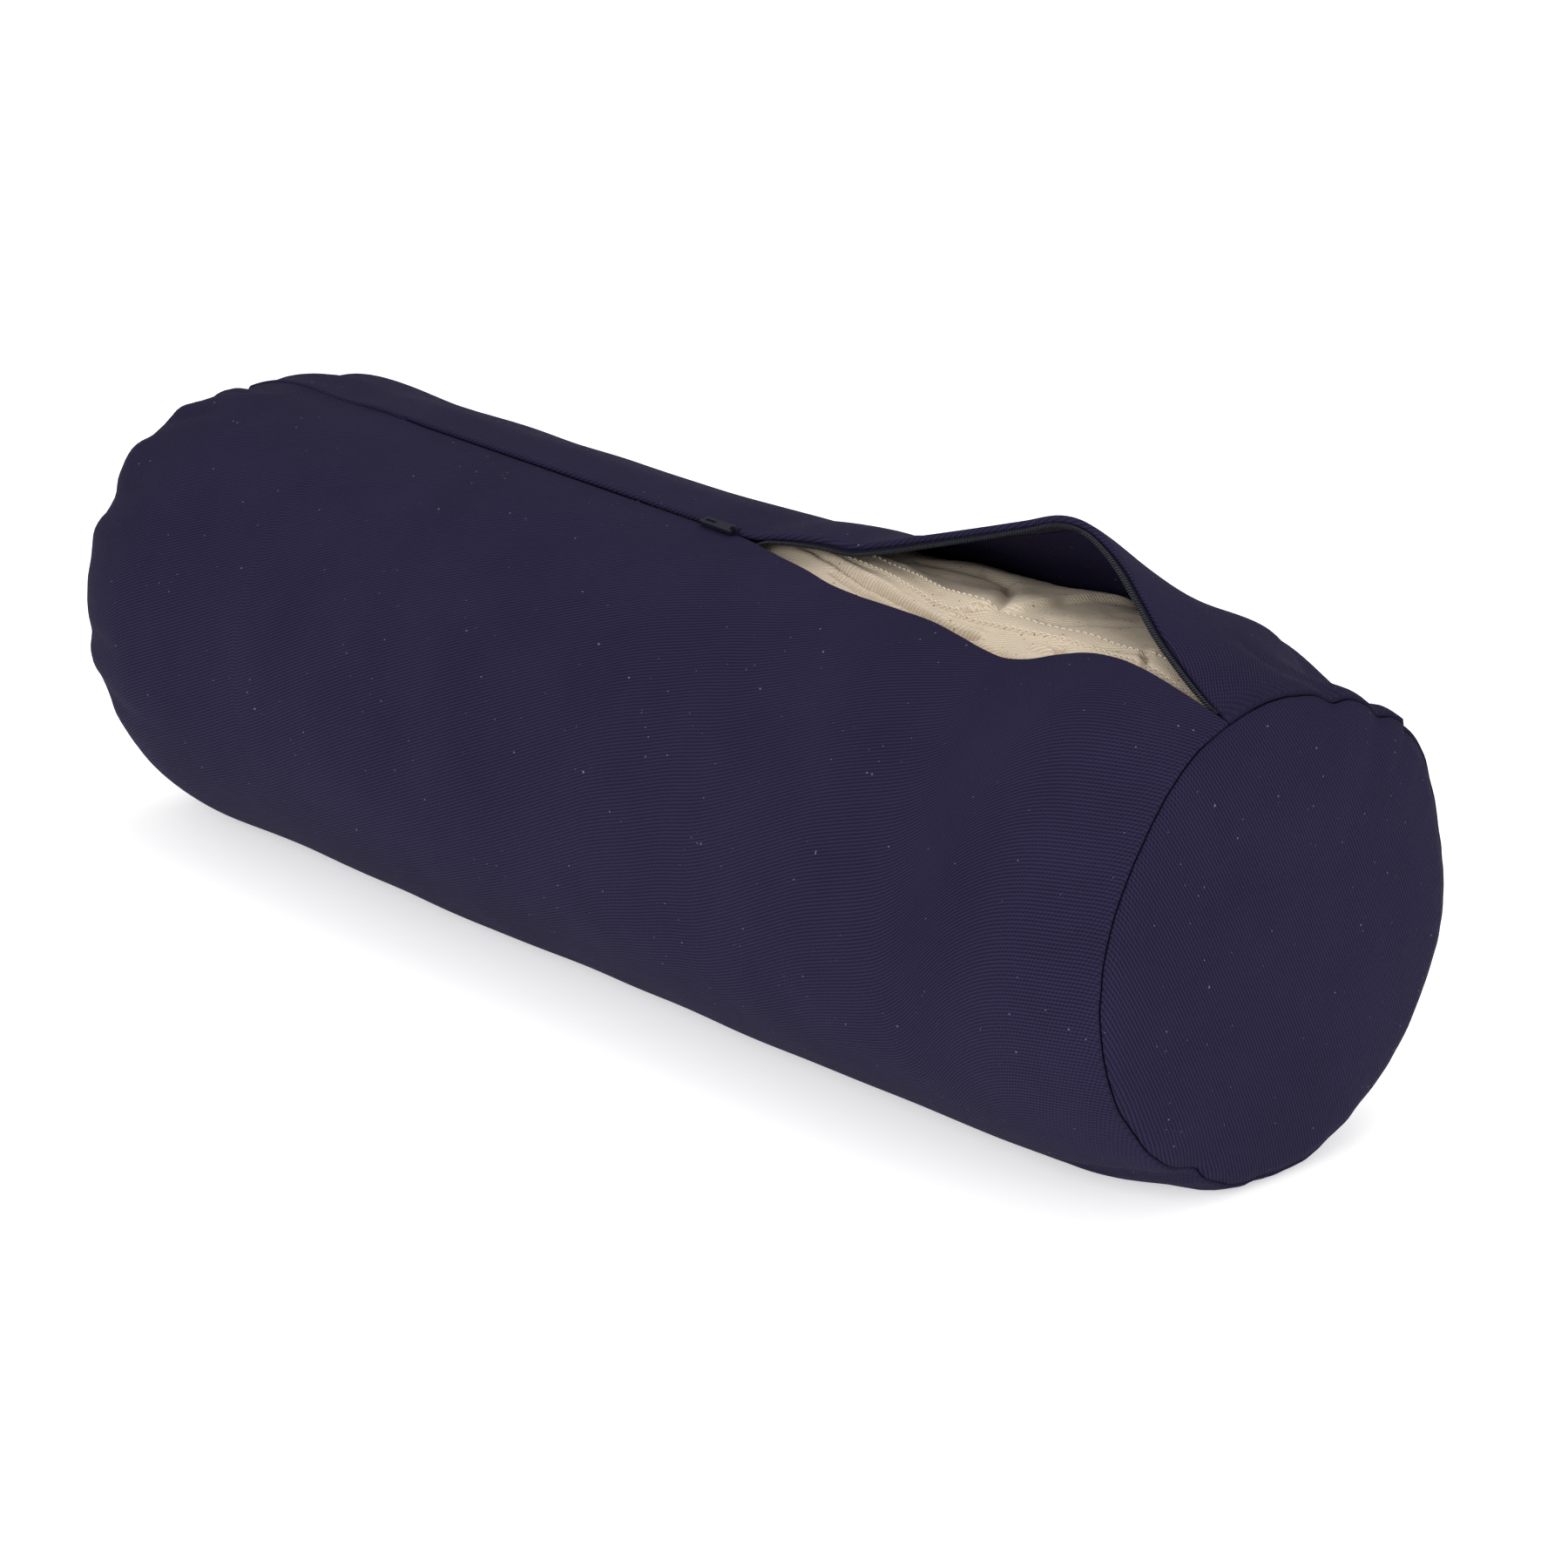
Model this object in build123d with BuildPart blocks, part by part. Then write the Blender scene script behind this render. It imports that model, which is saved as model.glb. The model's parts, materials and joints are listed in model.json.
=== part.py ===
from build123d import *
import os
from math import asin, degrees, sin, cos, radians, sqrt

# A round bolster pillow: a zipped twill cover over a sewn inner bag of filling.
# Millimetres. The origin is on the floor under the middle, +Z is up, +X runs along the bolster
# towards the open end of the zip, and -Y is the front. "near" is the front or +X side, "far" the other.

# Driving dimensions of the cover
SEAM_LENGTH = 660.0  # between the two end seams
ROUND_RADIUS = 108.0
SETTLED = 10.0  # how much of the round is pressed flat by the floor
END_RADIUS = 97.0  # radius of the end seams
SHOULDER = 57.0  # length over which the round draws in to each end seam
PANEL_BULGE = 12.0  # how far the end panels stand out past their seams
CLOTH = 1.0
THREAD_RADIUS = 0.3

# Driving dimensions of the inner bag
BAG_GAP = 2.2  # room between the cover and the bag, where the zip tapes lie
BAG_CLOTH = 0.8
FILL_GAP = 0.3
BAG_SEAM_WIDTH = 12.0
BAG_SEAM_THICKNESS = 0.6
BAG_SEAM_LENGTH = 590.0
STITCH_LENGTH = 2.8
STITCH_PITCH = 4.5
STITCH_WIDTH = 0.5
STITCH_HEIGHT = 0.3
STITCH_EDGE = 1.5  # from the stitches to the edge of the folded seam

# Driving dimensions of the zip, a No. 3 coil zip
ZIP_START = -186.0
SLIDER_X = 45.0  # where the slider stands
ZIP_Y = -20.2  # the zip's line at the slider
ZIP_Z = 199.1
ZIP_RUN_Y = -0.047  # its run towards -Y and down, per millimetre along X
ZIP_RUN_Z = -0.0132
ZIP_ROLL = 8.5  # how far it leans to the front with the round, degrees
COIL_RADIUS = 1.0
COIL_SPACING = 1.03  # from the zip's line to the middle of each closed row
TAPE_THICKNESS = 0.55
TAPE_INNER = 2.2
TAPE_OUTER = 12.0
TAPE_TAIL = 16.0  # tape past the bottom stop
STOP_LENGTH = 3.5
STOP_WIDTH = 2.6
STOP_GAP = 0.3
STOP_DROP = 0.8  # how far below its row's middle each top stop sits
LIP_ROW_IN = (2.2, 3.0)  # from the far lip's edge to its coil row, to the front and down
NEAR_ROW_DROP = 1.7  # from the near lip's underside down to the middle of its coil row
SLIT_WIDTH = 2.8

# Driving dimensions of the slider and its pull
SLIDER_LENGTH = 10.4
SLIDER_BACK_WIDTH = 6.8
SLIDER_FRONT_WIDTH = 8.8
PLATE = 0.8
CHANNEL_HEIGHT = 2.7
FLANGE = 0.9
FLANGE_GAP = 1.3  # the slot that the tapes leave by
CROWN_WIDTH = 1.6
CROWN_LENGTH = 5.6
CROWN_EYE_RADIUS = 0.95
CROWN_HEAD_RADIUS = 2.2
PIVOT_LIFT = 6.6  # from the zip's line up to the pull's pivot
PIVOT_RADIUS = 0.6
PULL_LENGTH = 22.0
PULL_WIDTH = 5.6
PULL_THICKNESS = 1.2

AXIS_Z = ROUND_RADIUS - SETTLED
TOP_Z = AXIS_Z + ROUND_RADIUS
HALF_LENGTH = SEAM_LENGTH / 2
TUBE_END = HALF_LENGTH - SHOULDER
SHOULDER_DROP = ROUND_RADIUS - END_RADIUS
SHOULDER_ARC = (SHOULDER**2 + SHOULDER_DROP**2) / (2 * SHOULDER_DROP)
PANEL_ARC = (END_RADIUS**2 + PANEL_BULGE**2) / (2 * PANEL_BULGE)
BAG_INSET = CLOTH + BAG_GAP
BAG_INNER = BAG_INSET + BAG_CLOTH
FILL_INSET = BAG_INNER + FILL_GAP
SLIDER_LOW = CHANNEL_HEIGHT / 2 + PLATE  # half the slider's thickness
BAG_CLEARANCE = 1.4  # from the slider down to the flat under the zip

# The mouth: where the near lip's edge runs, in plan
NEAR_LIP = [(50, -21.8), (80, -28), (120, -35), (180, -38), (227, -45), (265, -40), (305, -38.5), (324, -33)]
# The raised far lip, station by station: x, the edge's y and z, the y of the fold it rises from,
# and the slope of the zip tape that hangs inside it, degrees
FAR_LIP = [
    (64, -20.5, 205.8, -10, -8),
    (95, -17, 209.5, 18, -28),
    (130, -13, 215, 42, -42),
    (170, -6, 225, 60, -60),
    (208, 1, 236, 66, -76),
    (240, -2, 231, 60, -76),
    (270, -11, 217, 42, -50),
    (296, -22, 207, 16, -28),
    (312, -28, 202.5, -8, -12),
]
LIP_FOLD_GAP = 1.5  # between the raised lip and the fold that it rises from
LIP_BULGE = 0.12  # how far the raised lip arches, as a share of its span

os.makedirs("parts", exist_ok=True)


# Where the corner at the end seam goes when both faces beside it move in by one millimetre
SHOULDER_SIDE = Vector(SHOULDER, SHOULDER_ARC - SHOULDER_DROP) / SHOULDER_ARC
PANEL_SIDE = Vector(PANEL_ARC - PANEL_BULGE, END_RADIUS) / PANEL_ARC
SEAM_SHIFT_X, SEAM_SHIFT_Z, _ = (SHOULDER_SIDE + PANEL_SIDE) / (1 + SHOULDER_SIDE.dot(PANEL_SIDE))


def round_radius(x):
    """The cover's radius at x."""
    past = max(0.0, abs(x) - TUBE_END)
    return ROUND_RADIUS - SHOULDER_ARC + sqrt(SHOULDER_ARC**2 - past**2)


def surface_z(x, y, inset=0.0):
    """Height of the bolster's top at x, y, on the form moved in by inset."""
    return AXIS_Z + sqrt((round_radius(x) - inset) ** 2 - y**2)


def near_lip_y(x):
    """The near lip's y at x, along the straight runs between its points."""
    for (x0, y0), (x1, y1) in zip(NEAR_LIP, NEAR_LIP[1:]):
        if x0 <= x <= x1:
            return y0 + (y1 - y0) * (x - x0) / (x1 - x0)
    return NEAR_LIP[-1][1]


# The zip's own directions: along it, up through it, and across it to the far side
ALONG = Vector(1, ZIP_RUN_Y, ZIP_RUN_Z).normalized()
ROLLED = Vector(0, -sin(radians(ZIP_ROLL)), cos(radians(ZIP_ROLL)))
UP = (ROLLED - ALONG * ROLLED.dot(ALONG)).normalized()
ACROSS = UP.cross(ALONG)


def zip_point(x, across=0.0, up=0.0):
    """The point of the zip's line at x, moved across and up."""
    past = x - SLIDER_X
    on_line = Vector(x, ZIP_Y + ZIP_RUN_Y * past, ZIP_Z + ZIP_RUN_Z * past)
    return on_line + ACROSS * across + UP * up


def zip_plan(x, up=0.0):
    """A plane that lies along the zip, through its line at x, moved up."""
    return Plane(origin=zip_point(x, up=up), x_dir=ALONG, z_dir=UP)


def zip_section(x):
    """A plane that cuts across the zip at x, with its own x across and its own y up."""
    return Plane(origin=zip_point(x), x_dir=ACROSS, z_dir=ALONG)


def bolster_form(inset, floor):
    """The closed solid of the bolster, moved in by inset and pressed flat at the height floor."""
    apex = HALF_LENGTH + PANEL_BULGE - inset
    seam_x = HALF_LENGTH - SEAM_SHIFT_X * inset
    seam_z = AXIS_Z + END_RADIUS - SEAM_SHIFT_Z * inset
    with BuildPart() as form:
        with BuildSketch(Plane.XZ):
            with BuildLine():
                Line((-TUBE_END, TOP_Z - inset), (TUBE_END, TOP_Z - inset))
                for side in (1, -1):
                    TangentArc((side * TUBE_END, TOP_Z - inset), (side * seam_x, seam_z), tangent=(side, 0))
                    TangentArc((side * apex, AXIS_Z), (side * seam_x, seam_z), tangent=(0, 1))
                Line((-apex, AXIS_Z), (apex, AXIS_Z))
            make_face()
        revolve(axis=Axis((0, 0, AXIS_Z), (1, 0, 0)))
        split(bisect_by=Plane.XY.offset(floor), keep=Keep.TOP)
    return form.part


def bag_form(inset, floor):
    """A bolster form that is also flat under the zip, for the inner bag and its filling."""
    below = SLIDER_LOW + BAG_CLEARANCE + inset - BAG_INSET
    whole = bolster_form(inset, floor)
    with BuildPart() as form:
        add(whole)
        with Locations(zip_plan(SLIDER_X, up=-below)):
            Box(4 * SEAM_LENGTH, 2 * ROUND_RADIUS, ROUND_RADIUS,
                align=(Align.CENTER, Align.CENTER, Align.MIN), mode=Mode.SUBTRACT)
    return form.part


def between_seams(inset=0.0):
    """Keep, in the part under way, what lies between the end seams."""
    with Locations((0, 0, AXIS_Z)):
        Box(2 * (HALF_LENGTH - SEAM_SHIFT_X * inset), 4 * ROUND_RADIUS, 4 * ROUND_RADIUS, mode=Mode.INTERSECT)


def beyond_seam(side, inset=0.0):
    """Keep, in the part under way, what lies past the end seam on one side."""
    edge = Align.MIN if side > 0 else Align.MAX
    with Locations((side * (HALF_LENGTH - SEAM_SHIFT_X * inset), 0, AXIS_Z)):
        Box(SEAM_LENGTH, 4 * ROUND_RADIUS, 4 * ROUND_RADIUS,
            align=(edge, Align.CENTER, Align.CENTER), mode=Mode.INTERSECT)


def save(part, name):
    part.label = name
    export_step(part, f"parts/{name}.step")


# Cover: one shell of twill, cut into its tube and its two end panels at the end seams
cover_outside = bolster_form(0, 0)
cover_inside = bolster_form(CLOTH, CLOTH)

with BuildPart() as cover_body:
    add(cover_outside)
    add(cover_inside, mode=Mode.SUBTRACT)
    between_seams()
    # the slit between the closed folds over the zip
    slit_end = NEAR_LIP[1][0]
    with BuildSketch(zip_plan(ZIP_START)):
        Rectangle(slit_end - ZIP_START, SLIT_WIDTH, align=(Align.MIN, Align.CENTER))
    extrude(amount=3 * (TOP_Z - ZIP_Z), mode=Mode.SUBTRACT)
    # the mouth, from the near lip to the fold that the far lip rises from
    with BuildSketch(Plane.XY.offset(AXIS_Z)):
        with BuildLine():
            Spline(NEAR_LIP)
            Spline([NEAR_LIP[0]] + [(x, fold) for x, _, _, fold, _ in FAR_LIP] + [NEAR_LIP[-1]])
        make_face()
    extrude(amount=2 * ROUND_RADIUS, mode=Mode.SUBTRACT)
save(cover_body.part, "cover_body")

for side, name in ((1, "near"), (-1, "far")):
    with BuildPart() as cover_end:
        add(cover_outside)
        add(cover_inside, mode=Mode.SUBTRACT)
        beyond_seam(side)
    save(cover_end.part, f"cover_end_{name}")

    # the end seam's thread lies in the corner inside the cover
    with BuildPart() as end_seam_thread:
        with Locations(Plane(origin=(side * (HALF_LENGTH - 1.5), 0, AXIS_Z), z_dir=(1, 0, 0))):
            Torus(END_RADIUS - 1.6, THREAD_RADIUS)
    save(end_seam_thread.part, f"end_seam_thread_{name}")

# The raised far lip: one strip of twill, arched from its fold up to its edge
with BuildPart() as cover_lip_far:
    for x, edge_y, edge_z, fold, _ in FAR_LIP:
        foot = Vector(fold - LIP_FOLD_GAP, surface_z(x, fold - LIP_FOLD_GAP))
        edge = Vector(edge_y, edge_z)
        span = edge - foot
        out = Vector(span.Y, -span.X).normalized()
        middle = (foot + edge) * 0.5 + out * LIP_BULGE * span.length
        inward = out * -CLOTH
        with BuildSketch(Plane.YZ.offset(x)):
            with BuildLine():
                ThreePointArc(foot, middle, edge)
                Line(edge, edge + inward)
                ThreePointArc(edge + inward, middle + inward, foot + inward)
                Line(foot + inward, foot)
            make_face()
    loft(ruled=True)
save(cover_lip_far.part, "cover_lip_far")


def lip_stations(side):
    """Where one coil row runs along its open lip: x, y, z of its middle and the tape's slope, degrees."""
    if side > 0:
        return [(x, y - LIP_ROW_IN[0], z - LIP_ROW_IN[1], slope) for x, y, z, _, slope in FAR_LIP]
    stations = []
    for x in (80, 105, 140, 180, 227, 265, 296):
        y = near_lip_y(x) + 1.0
        hang = y - TAPE_OUTER / 2
        slope = degrees(asin(-hang / (round_radius(x) - CLOTH)))
        stations.append((x, y, surface_z(x, y, CLOTH) - NEAR_ROW_DROP, slope))
    return stations


def row_section(plane, across, up, slope, side, shape):
    """One cross-section of a coil row or of its tape, with the row's middle at across, up."""
    with BuildSketch(plane, mode=Mode.PRIVATE) as section:
        if shape == "coil":
            with Locations((across, up)):
                Circle(COIL_RADIUS)
        else:
            reach = side * ((TAPE_INNER + TAPE_OUTER) / 2 - COIL_SPACING)
            middle = (across + reach * cos(radians(slope)), up + reach * sin(radians(slope)))
            with Locations(middle):
                Rectangle(TAPE_OUTER - TAPE_INNER, TAPE_THICKNESS, rotation=slope)
    return section.sketch


# Zip: on each side one row of coil and one tape, straight as far as the slider, then along the lip
CLOSED_END = SLIDER_X + 0.5
PARTED = SLIDER_X + SLIDER_LENGTH / 2 + 0.4
PARTED_SPACING = COIL_SPACING + 1.0
for side, name in ((1, "far"), (-1, "near")):
    for shape, start in (("coil", ZIP_START), ("tape", ZIP_START - TAPE_TAIL)):
        first = row_section(zip_section(start), side * COIL_SPACING, 0, 0, side, shape)
        closed = row_section(zip_section(CLOSED_END), side * COIL_SPACING, 0, 0, side, shape)
        parted = row_section(zip_section(PARTED), side * PARTED_SPACING, 0, 0, side, shape)
        lip = [row_section(Plane.YZ.offset(x), y, z, slope, side, shape) for x, y, z, slope in lip_stations(side)]
        with BuildPart() as row:
            loft(sections=[first, closed])
            loft(sections=[closed, parted])
            loft(sections=[parted] + lip, ruled=True)
        save(row.part, f"zip_{shape}_{name}")

    x, y, z, slope = lip_stations(side)[-1]
    with BuildPart() as zip_top_stop:
        with BuildSketch(Plane.YZ.offset(x + STOP_GAP)):
            with Locations((y, z - STOP_DROP)):
                RectangleRounded(STOP_WIDTH, STOP_WIDTH, STOP_WIDTH / 5, rotation=slope)
        extrude(amount=STOP_LENGTH)
    save(zip_top_stop.part, f"zip_top_stop_{name}")

with BuildPart() as zip_bottom_stop:
    with BuildSketch(zip_section(ZIP_START - STOP_GAP - STOP_LENGTH)):
        RectangleRounded(2 * TAPE_INNER - 2 * STOP_GAP, STOP_WIDTH, STOP_WIDTH / 5)
    extrude(amount=STOP_LENGTH)
save(zip_bottom_stop.part, "zip_bottom_stop")


def slider_outline(inset, overrun, mode=Mode.ADD):
    """The slider's outline in plan, wide at its front, moved in by inset and longer by overrun."""
    back, front = SLIDER_BACK_WIDTH / 2 - inset, SLIDER_FRONT_WIDTH / 2 - inset
    end = SLIDER_LENGTH / 2 + overrun
    Polygon((-end, -back), (end, -front), (end, front), (-end, back), align=None, mode=mode)


# Slider: two plates joined by a wedge at the front, with turned-in flanges and a crown for the pull
with BuildPart() as zip_slider:
    for up in (-SLIDER_LOW, CHANNEL_HEIGHT / 2):
        with BuildSketch(zip_plan(SLIDER_X, up)) as plate:
            slider_outline(0, 0)
            fillet(plate.vertices(), 1.2)
        extrude(amount=PLATE)
    for up in (-CHANNEL_HEIGHT / 2, FLANGE_GAP / 2):
        with BuildSketch(zip_plan(SLIDER_X, up)) as flanges:
            slider_outline(0, 0)
            fillet(flanges.vertices(), 1.2)
            slider_outline(FLANGE, 1, Mode.SUBTRACT)
        extrude(amount=(CHANNEL_HEIGHT - FLANGE_GAP) / 2)
    wedge_end = SLIDER_LENGTH / 2 - 0.2
    with BuildSketch(zip_plan(SLIDER_X, -CHANNEL_HEIGHT / 2)):
        Polygon((wedge_end - 2.2, 0), (wedge_end, -0.6), (wedge_end, 0.6), align=None)
    extrude(amount=CHANNEL_HEIGHT)
    crown_side = Plane(
        origin=zip_point(SLIDER_X, across=CROWN_WIDTH / 2), x_dir=ALONG, z_dir=-ACROSS
    )
    with BuildSketch(crown_side):
        with BuildLine():
            Polyline(
                (-CROWN_HEAD_RADIUS, PIVOT_LIFT),
                (-CROWN_LENGTH / 2, SLIDER_LOW - PLATE / 2),
                (CROWN_LENGTH / 2, SLIDER_LOW - PLATE / 2),
                (CROWN_HEAD_RADIUS, PIVOT_LIFT),
            )
            ThreePointArc(
                (CROWN_HEAD_RADIUS, PIVOT_LIFT),
                (0, PIVOT_LIFT + CROWN_HEAD_RADIUS),
                (-CROWN_HEAD_RADIUS, PIVOT_LIFT),
            )
        make_face()
        with Locations((0, PIVOT_LIFT)):
            Circle(CROWN_EYE_RADIUS, mode=Mode.SUBTRACT)
    extrude(amount=CROWN_WIDTH)
save(zip_slider.part, "zip_slider")

# Pull: a flat tab whose end loops round the crown, hung on a bar through the crown's eye
LOOP_INSIDE = CROWN_HEAD_RADIUS + 0.4
LOOP_ARM = (PULL_WIDTH - CROWN_WIDTH) / 2 - 0.4
with BuildPart() as zip_pull:
    with BuildSketch(zip_plan(SLIDER_X, PIVOT_LIFT - PULL_THICKNESS / 2)) as tab:
        with Locations((-PULL_LENGTH / 2 + PIVOT_RADIUS, 0)):
            Rectangle(PULL_LENGTH, PULL_WIDTH)
        fillet(tab.vertices().group_by(Axis.X)[0], PULL_WIDTH / 2.4)
        with Locations((PULL_THICKNESS / 2, 0)):
            Rectangle(LOOP_INSIDE + PULL_THICKNESS / 2, PULL_WIDTH - 2 * LOOP_ARM,
                      align=(Align.MAX, Align.CENTER), mode=Mode.SUBTRACT)
        with Locations((-PULL_LENGTH * 0.72, 0)):
            SlotOverall(PULL_LENGTH * 0.3, PULL_WIDTH * 0.3, mode=Mode.SUBTRACT)
    extrude(amount=PULL_THICKNESS)
    bar_side = Plane(origin=zip_point(SLIDER_X, up=PIVOT_LIFT), x_dir=ALONG, z_dir=ACROSS)
    with BuildSketch(bar_side):
        Circle(PIVOT_RADIUS)
    extrude(amount=PULL_WIDTH / 2, both=True)
save(zip_pull.part, "zip_pull")

# Inner bag: a shell of natural twill with its own end panels, and the filling inside it
bag_outside = bag_form(BAG_INSET, CLOTH)
bag_inside = bag_form(BAG_INNER, CLOTH + BAG_CLOTH)

with BuildPart() as inner_bag_body:
    add(bag_outside)
    add(bag_inside, mode=Mode.SUBTRACT)
    between_seams(BAG_INSET)
save(inner_bag_body.part, "inner_bag_body")

for side, name in ((1, "near"), (-1, "far")):
    with BuildPart() as inner_bag_end:
        add(bag_outside)
        add(bag_inside, mode=Mode.SUBTRACT)
        beyond_seam(side, BAG_INSET)
    save(inner_bag_end.part, f"inner_bag_end_{name}")

with BuildPart() as inner_fill:
    add(bag_form(FILL_INSET, CLOTH + BAG_CLOTH + FILL_GAP))
save(inner_fill.part, "inner_fill")

# The bag's lengthwise seam is folded flat under the zip and stitched down along one edge
BAG_FLAT = -(SLIDER_LOW + BAG_CLEARANCE)
with BuildPart() as inner_bag_seam:
    with BuildSketch(zip_plan(0, BAG_FLAT)):
        Rectangle(BAG_SEAM_LENGTH, BAG_SEAM_WIDTH)
    extrude(amount=BAG_SEAM_THICKNESS)
save(inner_bag_seam.part, "inner_bag_seam")

with BuildPart() as inner_bag_thread:
    stitches = int(BAG_SEAM_LENGTH / STITCH_PITCH) - 1
    with BuildSketch(zip_plan(0, BAG_FLAT + BAG_SEAM_THICKNESS)):
        with Locations((0, STITCH_EDGE - BAG_SEAM_WIDTH / 2)):
            with GridLocations(STITCH_PITCH, 1, stitches, 1):
                Rectangle(STITCH_LENGTH, STITCH_WIDTH)
    extrude(amount=STITCH_HEIGHT)
save(inner_bag_thread.part, "inner_bag_thread")
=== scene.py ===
import bpy
import json
import math
import numpy as np
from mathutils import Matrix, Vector, noise

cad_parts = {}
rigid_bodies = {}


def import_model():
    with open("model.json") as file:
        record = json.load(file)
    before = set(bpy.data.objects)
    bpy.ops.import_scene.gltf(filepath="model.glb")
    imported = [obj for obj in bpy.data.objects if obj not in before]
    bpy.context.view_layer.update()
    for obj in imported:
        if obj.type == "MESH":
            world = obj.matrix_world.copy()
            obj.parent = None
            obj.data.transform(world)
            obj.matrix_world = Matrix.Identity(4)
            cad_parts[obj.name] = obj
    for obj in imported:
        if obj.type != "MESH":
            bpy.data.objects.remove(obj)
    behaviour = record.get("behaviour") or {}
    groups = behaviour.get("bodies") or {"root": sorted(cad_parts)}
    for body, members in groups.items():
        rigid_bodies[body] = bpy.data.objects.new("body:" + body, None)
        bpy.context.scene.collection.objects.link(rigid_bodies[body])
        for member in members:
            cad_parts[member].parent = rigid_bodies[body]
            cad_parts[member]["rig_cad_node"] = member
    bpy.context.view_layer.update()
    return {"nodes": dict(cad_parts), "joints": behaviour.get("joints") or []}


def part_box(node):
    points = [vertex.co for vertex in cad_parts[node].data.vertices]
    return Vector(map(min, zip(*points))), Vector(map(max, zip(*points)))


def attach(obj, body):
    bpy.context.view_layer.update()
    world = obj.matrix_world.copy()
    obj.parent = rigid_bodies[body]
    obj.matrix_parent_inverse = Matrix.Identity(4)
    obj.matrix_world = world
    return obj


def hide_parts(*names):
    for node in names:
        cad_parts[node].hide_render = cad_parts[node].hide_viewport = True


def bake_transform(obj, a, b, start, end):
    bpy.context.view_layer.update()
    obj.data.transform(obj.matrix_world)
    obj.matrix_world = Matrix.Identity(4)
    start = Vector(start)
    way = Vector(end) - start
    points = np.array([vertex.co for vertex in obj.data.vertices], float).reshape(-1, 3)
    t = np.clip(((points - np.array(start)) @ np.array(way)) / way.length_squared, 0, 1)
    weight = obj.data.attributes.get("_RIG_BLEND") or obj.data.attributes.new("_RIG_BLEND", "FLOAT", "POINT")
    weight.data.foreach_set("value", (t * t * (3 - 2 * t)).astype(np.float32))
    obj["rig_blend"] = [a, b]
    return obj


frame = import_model()

# Lengths in this script are millimetres; MM turns them into Blender's metres.
MM = 0.001


def box_mm(node):
    low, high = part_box(node)
    return np.array(low) / MM, np.array(high) / MM


# Driving sizes, read from the frame
TUBE_LOW, TUBE_HIGH = box_mm("cover_body")
PANEL_HIGH = box_mm("cover_end_near")[1]
HALF = TUBE_HIGH[0]
RADIUS = (TUBE_HIGH[1] - TUBE_LOW[1]) / 2
AXIS_Z = TUBE_HIGH[2] - RADIUS
END_RADIUS = (PANEL_HIGH[1] - box_mm("cover_end_near")[0][1]) / 2
BULGE = PANEL_HIGH[0] - HALF
SHOULDER = 57.0
CLOTH = 0.9
HEM = 12.0  # cloth turned under at each side of the zip
FOLD = 0.95  # radius of the fold at the edge of each hem

# The slider's path, from its joint
SLIDE = next(j for j in frame["joints"] if j["name"] == "slider_slide")
ALONG = np.array(SLIDE["axis"])
HINGE = next(j for j in frame["joints"] if j["name"] == "pull_hinge")
ACROSS = np.array(HINGE["axis"])
UP = np.cross(ALONG, ACROSS)
PIVOT_LIFT = 6.6
SLIDER_AT = np.array(HINGE["pos_m"]) / MM - UP * PIVOT_LIFT
CHAIN_START = box_mm("zip_coil_near")[0][0]
TAPE_START = box_mm("zip_tape_near")[0][0]
SLIDER_FRONT = box_mm("zip_slider")[1][0]


def chain_point(x):
    """The zip's line at x, as an array of points."""
    x = np.asarray(x, float)
    steps = (x - SLIDER_AT[0]) / ALONG[0]
    return SLIDER_AT + steps[..., None] * ALONG


# ---------------------------------------------------------------- shape helpers


def smooth(low, high, x):
    t = np.clip((np.asarray(x, float) - low) / (high - low), 0, 1)
    return t * t * (3 - 2 * t)


def course(stations, x):
    """A smooth curve through stations, rows of x and values, read at x."""
    table = np.array(stations, float)
    xs, values = table[:, 0], table[:, 1:]
    slopes = np.gradient(values, xs, axis=0)
    x = np.clip(np.asarray(x, float), xs[0], xs[-1])
    i = np.clip(np.searchsorted(xs, x) - 1, 0, len(xs) - 2)
    h = (xs[i + 1] - xs[i])[..., None]
    t = ((x - xs[i]) / h[..., 0])[..., None]
    a, b = values[i], values[i + 1]
    ma, mb = slopes[i] * h, slopes[i + 1] * h
    cubic = (2 * t**3 - 3 * t**2 + 1) * a + (t**3 - 2 * t**2 + t) * ma
    return cubic + (3 * t**2 - 2 * t**3) * b + (t**3 - t**2) * mb


def waves(x, y, z, size, seed):
    """Smooth noise, about -1 to 1, with waves of the given size."""
    flat = np.broadcast_arrays(x, y, z)
    shape = flat[0].shape
    points = np.stack([a.ravel() for a in flat], 1) / size + seed * 17.3
    return np.array([noise.noise(p) for p in points]).reshape(shape)


def ridge(x, y, points, width, steep=1.0):
    """A ridge along points in the x, y plane: 1 on the line, falling off over width.

    steep is how many times wider it is on one side.
    """
    best = np.full(np.shape(x), 1e9)
    side = np.zeros(np.shape(x))
    for (x0, y0), (x1, y1) in zip(points, points[1:]):
        dx, dy = x1 - x0, y1 - y0
        length2 = dx * dx + dy * dy
        t = np.clip(((x - x0) * dx + (y - y0) * dy) / length2, 0, 1)
        gap = np.hypot(x - x0 - t * dx, y - y0 - t * dy)
        nearer = gap < best
        best = np.where(nearer, gap, best)
        side = np.where(nearer, np.sign((y - y0) * dx - (x - x0) * dy), side)
    spread = np.where(side > 0, width * steep, width)
    return np.exp(-((best / spread) ** 2))


def tube_radius(x, inset=0.0):
    """The round's radius at x, drawn in towards each end seam."""
    drop = RADIUS - END_RADIUS
    arc = (SHOULDER**2 + drop**2) / (2 * drop)
    past = np.clip(np.abs(x) - (HALF - SHOULDER), 0, SHOULDER)
    return RADIUS - inset - arc + np.sqrt(arc**2 - past**2)


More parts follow.
